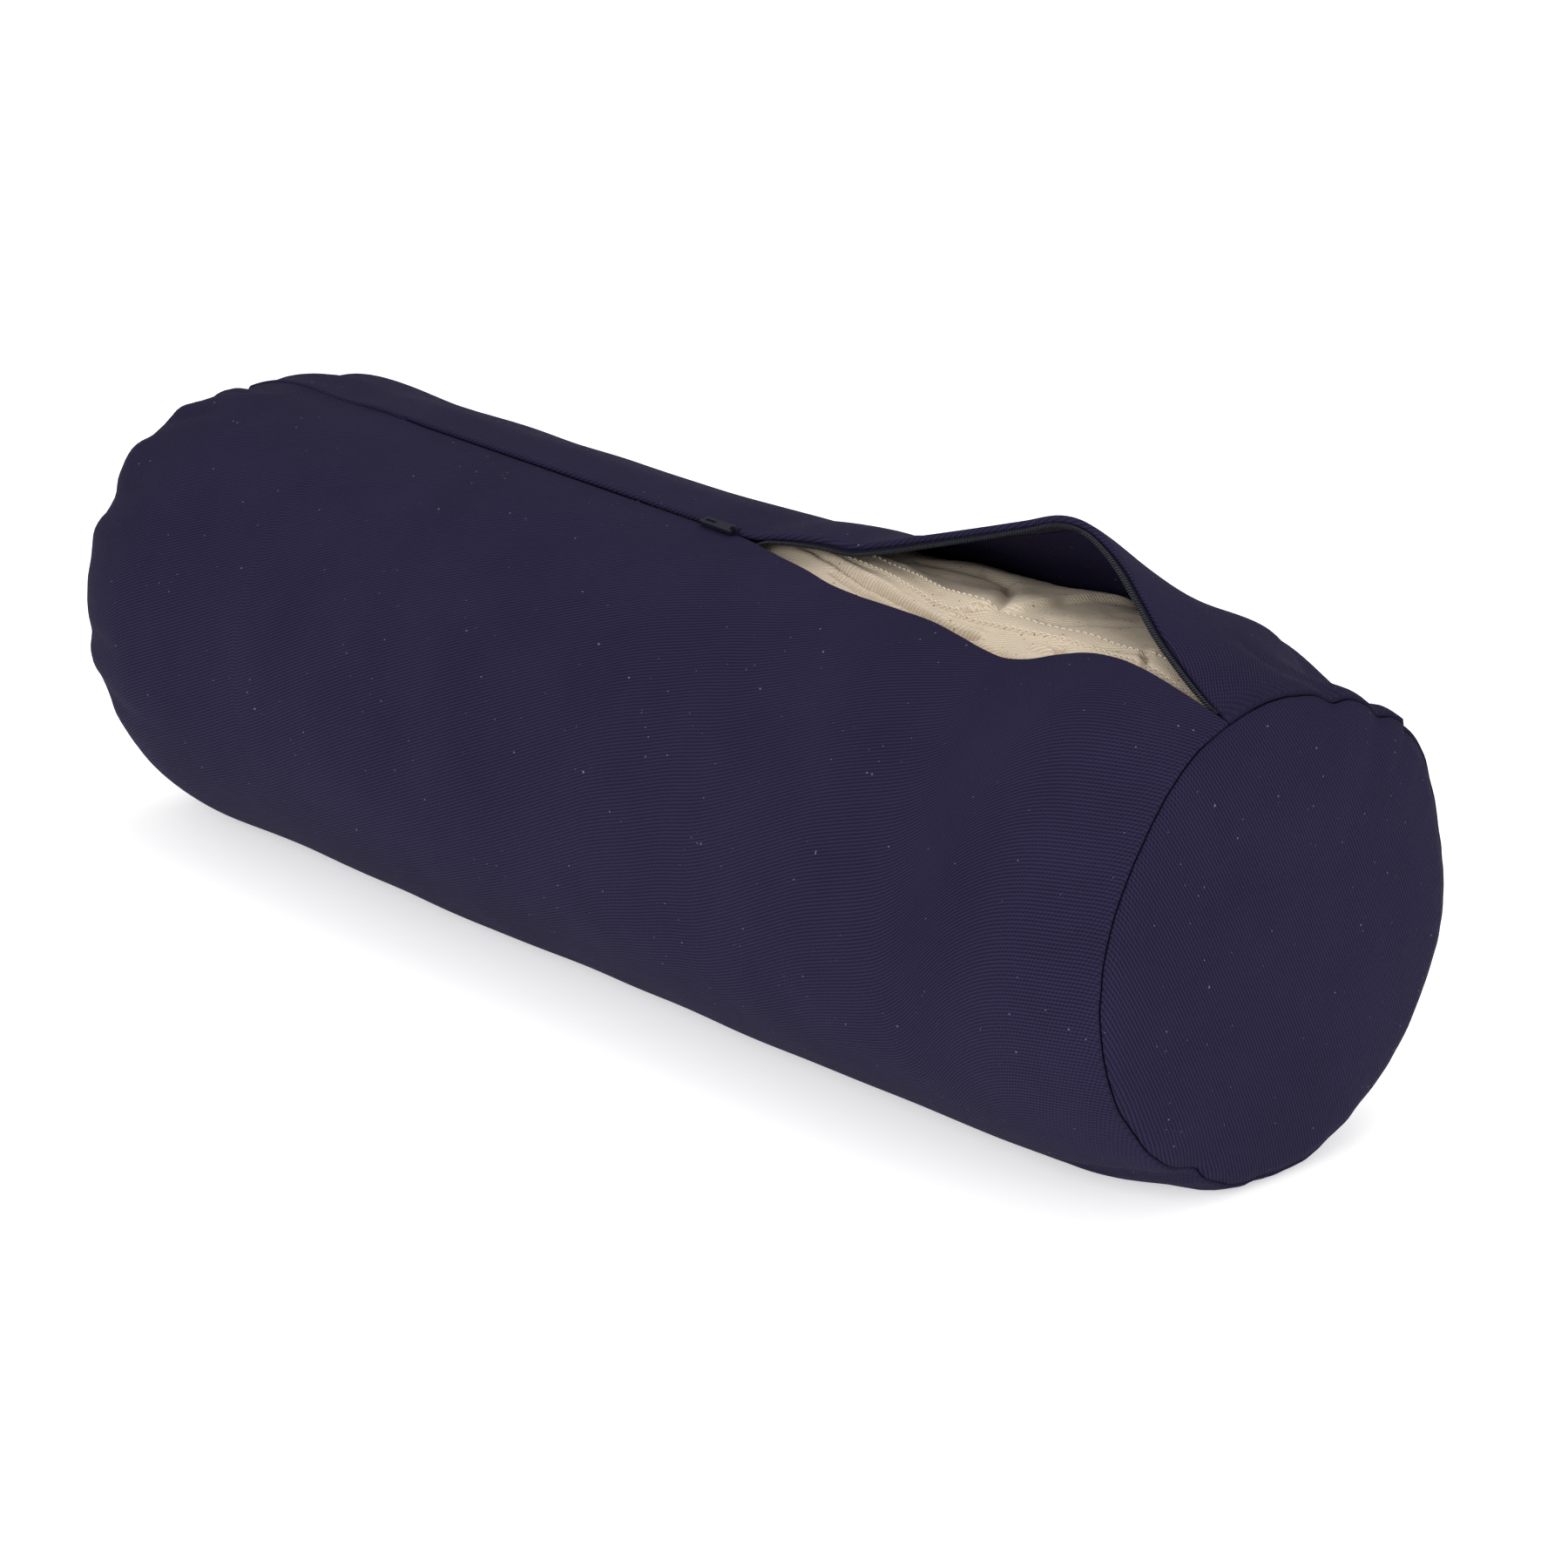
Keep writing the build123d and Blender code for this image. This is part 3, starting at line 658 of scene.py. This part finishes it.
def zip_rows(x):
    """The near and far rows of coil at x.

    With each come the place where its tape goes under the hem, and the way on from there.
    """
    x = np.asarray(x, float)
    near, far, slope = lip_edges(x)
    chain = chain_point(x)
    zero = np.zeros_like(x)
    near_turn = np.arctan2(-near[:, 1], near[:, 2] - AXIS_Z)
    near_ahead = np.stack([zero, np.cos(near_turn), np.sin(near_turn)], -1)
    near_out = np.stack([zero, -np.sin(near_turn), np.cos(near_turn)], -1)
    far_ahead = np.stack([zero, -np.cos(slope), np.sin(slope)], -1)
    far_out = np.stack([zero, np.sin(slope), np.cos(slope)], -1)
    parted = smooth(SLIDER_FRONT - 3, SLIDER_FRONT + 14, x)[:, None]
    under = 2 * FOLD + 0.45 + TAPE / 2 + 0.1
    recess = (1.5 + 2.4 * smooth(225, 260, x))[:, None]
    near_under, far_under = near - near_out * under, far - far_out * under
    row_y, row_z = course(FAR_ROW, x).T
    flat = CHAIN_HALF + 5.0

    def meet(closed, opened):
        return closed * (1 - parted) + opened * parted

    return (
        meet(chain - ACROSS * CHAIN_HALF, near_under - near_out * 0.5 - near_ahead * recess),
        meet(chain - ACROSS * flat, near_under - near_ahead * (recess + 2.0)),
        meet(-ACROSS + 0 * chain, -near_ahead),
        meet(chain + ACROSS * CHAIN_HALF, np.stack([x, row_y, row_z], -1)),
        meet(chain + ACROSS * flat, far_under),
        meet(ACROSS + 0 * chain, -far_ahead),
    )


def coil(name, x_start, x_end, pick, flip):
    """One row of the zip: a nylon coil wound along the edge of its tape."""
    x = np.linspace(x_start, x_end, 900)
    line = zip_rows(x)[pick]
    reach = np.concatenate([[0], np.linalg.norm(np.diff(line, axis=0), axis=1).cumsum()])
    turns = reach[-1] / COIL_PITCH
    at = np.linspace(0, reach[-1], int(turns * 9))
    centre = np.stack([np.interp(at, reach, line[:, k]) for k in range(3)], -1)
    ahead = np.gradient(centre, axis=0)
    ahead /= np.linalg.norm(ahead, axis=1)[:, None]
    across = np.cross(ahead, [0, -0.35, 1.0])
    across /= np.linalg.norm(across, axis=1)[:, None]
    top = np.cross(across, ahead)
    phase = 2 * np.pi * at / COIL_PITCH + flip * np.pi
    swing = np.cos(phase)[:, None] * across * 1.25 + np.sin(phase)[:, None] * top
    thread = centre + (COIL_RADIUS - COIL_WIRE) * swing
    points, faces = tube_along(thread, COIL_WIRE, 6)
    core, core_faces = tube_along(centre[::9], COIL_RADIUS - COIL_WIRE * 1.6, 6)
    points, faces = join_parts([(points, faces), (core, core_faces)])
    return make_piece(name, points, faces, COIL_WITH_PAINTED_GLINT)


def tape(name, x_start, x_end, coil_row, under_row, back_row):
    """The woven tape that carries a row of coil, from the coil to its stitched edge under the hem."""
    x = np.linspace(x_start, x_end, 300)
    rows = zip_rows(x)
    line, under, back = rows[coil_row], rows[under_row], rows[back_row]
    toward = under - line
    gap = np.linalg.norm(toward, axis=1)[:, None]
    toward = toward / np.maximum(gap, 1e-6)
    first = line + toward * (COIL_RADIUS * 0.6)
    left = np.maximum(TAPE_WIDTH - gap, 2.0)
    columns = [first + (under - first) * t for t in np.linspace(0, 1, 8)]
    middle = under + back * 0.8
    columns += [middle + back * (left - 0.8) * t for t in np.linspace(0, 1, 9)]
    points = np.stack(columns)
    steps = np.linalg.norm(np.diff(points, axis=0), axis=2)
    across = np.concatenate([np.zeros((1, len(x))), steps.cumsum(0)])
    cloth_at = np.stack([np.broadcast_to(x, across.shape), across], -1)
    piece = make_piece(name, points, grid_faces(*points.shape[:2]), TAPE_WEAVE, cloth_at)
    thicken(piece, TAPE)
    return piece


def crimp(name, node_name, line):
    """A metal stop pressed round the end of a row."""
    points, faces = tube_along(line, 1.35, 12)
    caps = [line[0], line[-1]]
    points = np.concatenate([points.reshape(-1, 3), caps])
    total = len(line) * 12
    fan = [(i, (i + 1) % 12, total) for i in range(12)]
    fan += [(total - 12 + (i + 1) % 12, total - 12 + i, total + 1) for i in range(12)]
    piece = make_piece(name, points, faces.tolist() + fan, METAL_DARKENED_AS_SHADE)
    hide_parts(node_name)
    return piece


def add_zip():
    ends = HALF - 9
    pieces = {}
    for word, rows in (("near", (0, 1, 2)), ("far", (3, 4, 5))):
        strip = tape(f"zip_tape_strip_{word}", TAPE_START, ends + 6, *rows)
        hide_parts(f"zip_tape_{word}")
        row = coil(f"zip_coil_row_{word}", CHAIN_START, ends, rows[0], word == "far")
        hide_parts(f"zip_coil_{word}")
        last = zip_rows(np.linspace(ends, ends + 3.2, 5))[rows[0]]
        stop = crimp(f"zip_end_crimp_{word}", f"zip_top_stop_{word}", last)
        pieces[word] = [strip, row, stop]
    start = chain_point(np.linspace(CHAIN_START - 3.0, CHAIN_START, 5))
    crimp("zip_start_crimp", "zip_bottom_stop", start)
    return pieces


# ---------------------------------------------------------------- the inner bag

BAG_CLOTH = 0.8
BAG_INSET = 3.5
BAG_HALF = HALF - 3.2
BAG_OFF_FLOOR = 1.6
FILLING_OFF_FLOOR = 1.2
STITCH_LIFT = 0.85  # how far the felled seam stands off the bag
SEAM_WIDTH = 11.0
BAG_SEAM_LINE = [
    (-300, -19), (20, -15), (60, -9), (90, -8), (120, -11), (147, -17.5), (170, -22.5), (190, -23),
    (210, -22.5), (228, -21), (242, -20), (262, -21), (300, -26),
]
BAG_CREASES = [
    # points of x and y on the top of the bag, width, depth, how much wider one side is
    ([(70, -9), (83, -10), (113, -17), (130, -20.5), (145, -24), (166, -28), (181, -30.5), (197, -31)],
     1.0, -4.6, 1.5),
    ([(76, -6), (86, -7.5), (113, -14), (130, -17.6), (145, -21), (166, -25), (181, -27.4), (197, -27.8)],
     1.7, 1.5, 1.0),
    ([(100, -18.5), (135, -26.5), (158, -31), (176, -33.5), (196, -34.5), (224, -37)], 1.1, -3.4, 1.6),
    ([(86, -2), (103, 2), (121, 1.5), (141, -5), (161, -11.5), (181, -16), (192, -16)], 2.2, 1.3, 1.8),
    ([(146, 26), (163, 22), (176, 9), (186, -4), (191, -12)], 3.0, -2.4, 1.0),
    ([(188, -15), (198, -7), (199, 14), (201, 30), (206, 46)], 1.7, 3.2, 11.0),
    ([(214, -8), (226, -2), (238, 8), (246, 22)], 2.4, -1.4, 2.0),
    ([(236, -24), (240, -30), (238, -36)], 1.6, -4.2, 1.2),
    ([(226, -28), (236, -27), (248, -30), (258, -36)], 1.5, 1.8, 1.0),
    ([(240, -28), (252, -33), (262, -34)], 2.0, -1.6, 1.0),
    ([(270, -12), (276, -18), (279, -25)], 1.3, -4.2, 1.2),
    ([(250, -16), (262, -14), (272, -15)], 2.0, -1.3, 1.3),
    ([(282, -26), (296, -28), (312, -31)], 1.8, -1.4, 1.0),
    ([(206, -25), (220, -27), (234, -28)], 2.6, 1.0, 1.0),
    ([(120, 14), (140, 20), (158, 26)], 3.0, -1.6, 1.4),
]


def bag_radius(x, turn):
    """The bag's radius: close under the cover, pressed down under the zip, and loose in the mouth."""
    x, turn = np.broadcast_arrays(np.asarray(x, float), np.asarray(turn, float))
    degrees = np.degrees(turn)
    cover_relief = cloth_relief(x, degrees)
    across = -(RADIUS - BAG_INSET) * np.sin(turn)
    top = smooth(0.2, 0.5, np.cos(turn))
    path = chain_point(x)[..., 1]
    under_zip = np.exp(-(((across - path) / 8.5) ** 4)) * top * smooth(CHAIN_START - 30, CHAIN_START, x)
    mouth = smooth(60, 105, x) * (1 - smooth(305, 328, x)) * smooth(-58, -46, across)
    mouth = mouth * (1 - smooth(56, 74, across)) * top
    behind = 2.6 * np.exp(-(((across - 40) / 17) ** 2)) * smooth(100, 135, x) * (1 - smooth(262, 300, x))
    level = -0.6 + behind
    level = level + 2.0 * np.exp(-(((x - 284) / 24) ** 2) - ((across + 12) / 18) ** 2)
    level = level - 1.9 * np.exp(-(((across - path) / 6.5) ** 4)) * (1 + smooth(230, 270, x))
    level = level - 2.0 * np.exp(-(((x - 164) / 20) ** 2) - ((across - 16) / 11) ** 2)
    zero = np.zeros_like(x)
    loose = 0.9 * waves(x, across, zero, 24, 11) + 0.45 * waves(x, across, zero, 10, 12)
    loose = loose + 0.16 * waves(x, across, zero, 4, 13)
    for points, wide, height, steep in BAG_CREASES:
        wander = 1.2 * waves(x, across, zero, 12, 14)
        loose = loose + height * ridge(x + wander, across - wander, points, wide, steep)
    covered = np.minimum(cover_relief, 1.0) - under_zip * 3.6
    relief = covered * (1 - mouth) + (level + loose) * mouth
    return tube_radius(x) - BAG_INSET + relief


def bag_point(x, turn, lift=0.0):
    reach = bag_radius(x, turn) + lift
    x, turn = np.broadcast_arrays(np.asarray(x, float), np.asarray(turn, float))
    points = settle(np.stack([x, -reach * np.sin(turn), AXIS_Z + reach * np.cos(turn)], -1), 2.0)
    return points + [0, 0, BAG_OFF_FLOOR] * (np.cos(turn) < -0.7)[..., None]


def turn_at(y):
    return np.arcsin(-np.asarray(y, float) / (RADIUS - BAG_INSET))


def add_bag():
    half = BAG_HALF
    x = np.concatenate([np.linspace(-half, 54, 84)[:-1], np.linspace(54, half, 250)])
    turns = np.radians(np.concatenate([np.linspace(-46, 40, 132), np.linspace(40, 314, 92)[1:-1]]))
    xs, ts = np.meshgrid(x, turns)
    points = bag_point(xs, ts)
    rings = [points[:, 0].copy(), points[:, -1].copy()]
    inside = []
    for side, edge in ((-1, rings[0]), (1, rings[1])):
        inward = np.array([0, 0, AXIS_Z]) - edge
        inward[:, 0] = 0
        inward /= np.linalg.norm(inward, axis=1)[:, None]
        turned = ((0.4, 0.5), (0.5, 1.2), (-0.2, 1.9), (-6, 2.5))
        inside.append([edge + np.array([side * out, 0, 0]) + inward * deep for out, deep in turned])
    points = np.concatenate([np.stack(inside[0][::-1], 1), points, np.stack(inside[1], 1)], 1)
    count, wide = points.shape[:2]
    faces = grid_faces(count, wide).tolist()
    faces += [((count - 1) * wide + c, (count - 1) * wide + c + 1, c + 1, c) for c in range(wide - 1)]
    around = np.broadcast_to((turns * (RADIUS - BAG_INSET))[:, None], (count, wide))
    cloth_at = np.stack([points[..., 0], around], -1)
    body = make_piece("bag_main_panel", points, faces, NATURAL, cloth_at)
    thicken(body, BAG_CLOTH)
    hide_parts("inner_bag_body")
    ends = []
    for side, word, ring in ((-1, "far", rings[0]), (1, "near", rings[1])):
        end = end_panel(f"bag_end_panel_{word}", side, ring, half, BULGE - 0.6, BAG_CLOTH, NATURAL_END, 1.0)
        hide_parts(f"inner_bag_end_{word}")
        ends.append(end)

    seam_x = np.linspace(-half + 6, half - 6, 520)
    low = course(BAG_SEAM_LINE, seam_x)[:, 0]
    across = np.linspace(0, SEAM_WIDTH, 11)
    lifts = np.array([-0.5, 0.5, 0.8, 0.85, 0.85, 0.85, 0.85, 0.85, 0.8, 0.5, -0.5]) + BAG_CLOTH / 2
    rows = [bag_point(seam_x, turn_at(low + a), l) for a, l in zip(across, lifts)]
    flat = np.stack([np.stack([seam_x, np.full_like(seam_x, 400 + a)], -1) for a in across])
    faces = grid_faces(len(rows), len(seam_x))
    seam = make_piece("bag_felled_seam", np.stack(rows), faces, NATURAL_SEAM, flat)
    thicken(seam, 0.4, -1)
    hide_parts("inner_bag_seam")
    parts = []
    for a in (1.6, SEAM_WIDTH - 1.8):
        line = bag_point(seam_x, turn_at(low + a), STITCH_LIFT + BAG_CLOTH / 2)
        row = seam_stitches("row", line, 2.2, 3.6, 0.3, THREAD)
        places = np.array([v.co for v in row.data.vertices]) / MM
        parts.append((places, [list(p.vertices) for p in row.data.polygons]))
        bpy.data.objects.remove(row)
    points, faces = join_parts(parts)
    stitches = make_piece("bag_stitches", points, faces, THREAD)
    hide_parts("inner_bag_thread")
    return body, ends, seam, stitches


def add_filling():
    """The loose filling, one soft mass just inside the bag."""
    half = BAG_HALF
    turn = np.linspace(0, 2 * np.pi, 120, endpoint=False)
    rows = []
    for share in np.linspace(0.04, 0.94, 14):
        rows.append((-(half + 1.0 + (BULGE - 5.5) * (1 - share**3.2) ** 0.8), share))
    for x in np.linspace(-half + 1.5, half - 1.5, 90):
        rows.append((x, 1.0))
    for share in np.linspace(0.94, 0.04, 14):
        rows.append((half + 1.0 + (BULGE - 5.5) * (1 - share**3.2) ** 0.8, share))
    points = []
    for x, share in rows:
        inside = np.clip(x, -half + 1.5, half - 1.5)
        uneven = 0.5 * waves(x, 60 * np.sin(turn), 60 * np.cos(turn), 14, 21)
        reach = (bag_radius(np.full_like(turn, inside), turn) - 4.2 + uneven) * share
        ring = [np.full_like(turn, x), -reach * np.sin(turn), AXIS_Z + reach * np.cos(turn)]
        points.append(np.stack(ring, -1))
    points = settle(np.stack(points)) + [0, 0, FILLING_OFF_FLOOR] * (np.cos(turn) < -0.7)[None, :, None]
    count, wide = points.shape[:2]
    faces = grid_faces(count, wide, closed=True).tolist()
    ends = [points[0].mean(0), points[-1].mean(0)]
    hub = count * wide
    faces += [((i + 1) % wide, i, hub) for i in range(wide)]
    faces += [(hub - wide + i, hub - wide + (i + 1) % wide, hub + 1) for i in range(wide)]
    piece = make_piece("filling", np.concatenate([points.reshape(-1, 3), ends]), faces, KAPOK)
    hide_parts("inner_fill")
    return piece


cover, cover_ends = add_cover()
zip_parts = add_zip()
bag, bag_ends, bag_seam, bag_stitches = add_bag()
filling = add_filling()

# The CAD slider and pull stay, in dark enamel darkened further as painted shade of the fold they sit under
for name in ("zip_slider", "zip_pull"):
    shown = frame["nodes"][name]
    shown.data.materials.clear()
    shown.data.materials.append(METAL_DARKENED_AS_SHADE)

# Body "far_lip" carries the top of the raised side; the rest of the cover stays
# over a height meant to keep the cloth from crossing itself at the closed limit
LIFT_START, LIFT_END = (0, 0, 0.2085), (0, 0, 0.2555)
for piece in (cover, *zip_parts["far"]):
    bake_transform(piece, "cover", "far_lip", LIFT_START, LIFT_END)

# ---------------------------------------------------------------- stage, light, camera


def add_stage():
    mesh = bpy.data.meshes.new("floor")
    reach = 12
    corners = [(-reach, -reach, 0), (reach, -reach, 0), (reach, reach, 0), (-reach, reach, 0)]
    mesh.from_pydata(corners, [], [(0, 1, 2, 3)])
    floor = bpy.data.objects.new("floor", mesh)
    bpy.context.scene.collection.objects.link(floor)
    material, _, _, shader = new_material("pale floor")
    shader.inputs["Base Color"].default_value = (0.9, 0.9, 0.905, 1)
    shader.inputs["Roughness"].default_value = 0.9
    shader.inputs["Emission Color"].default_value = (1, 1, 1, 1)
    shader.inputs["Emission Strength"].default_value = 0.5
    mesh.materials.append(material)


def add_light(name, place, aim, size, power):
    data = bpy.data.lights.new(name, "AREA")
    data.shape = "SQUARE"
    data.size = size
    data.energy = power
    light = bpy.data.objects.new(name, data)
    light.location = place
    light.rotation_mode = "QUATERNION"
    light.rotation_quaternion = (Vector(aim) - Vector(place)).to_track_quat("-Z", "Y")
    bpy.context.scene.collection.objects.link(light)


def add_camera():
    azimuth, elevation = math.radians(48.03), math.radians(18.797)
    back = Vector((
        math.sin(azimuth) * math.cos(elevation),
        -math.cos(azimuth) * math.cos(elevation),
        math.sin(elevation),
    ))
    camera = bpy.data.objects.new("camera", bpy.data.cameras.new("camera"))
    camera.data.lens = 105.358
    camera.data.sensor_width = 36
    camera.location = (1.41471, -1.22606, 0.71618)
    camera.rotation_mode = "QUATERNION"
    camera.rotation_quaternion = (-back).to_track_quat("-Z", "Y")
    bpy.context.scene.collection.objects.link(camera)
    bpy.context.scene.camera = camera


add_stage()
add_camera()
world = bpy.data.worlds.new("studio")
world.use_nodes = True
world.node_tree.nodes["Background"].inputs["Color"].default_value = (1, 1, 1, 1)
world.node_tree.nodes["Background"].inputs["Strength"].default_value = 0.66
bpy.context.scene.world = world
bpy.context.scene.view_settings.view_transform = "Standard"
add_light("top_softbox", (0.2, 0.4, 2.2), (0, 0, 0), 1.8, 16)
add_light("front_softbox", (0.8, -2.2, 1.15), (0.1, 0, 0.1), 1.5, 25)
add_light("side_softbox", (2.4, -0.2, 0.9), (0.2, 0, 0.1), 1.2, 10)

for piece in [o for o in bpy.data.objects if o.type == "MESH" and not o.parent and "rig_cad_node" not in o]:
    if piece.name != "floor" and "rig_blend" not in piece:
        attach(piece, "cover")
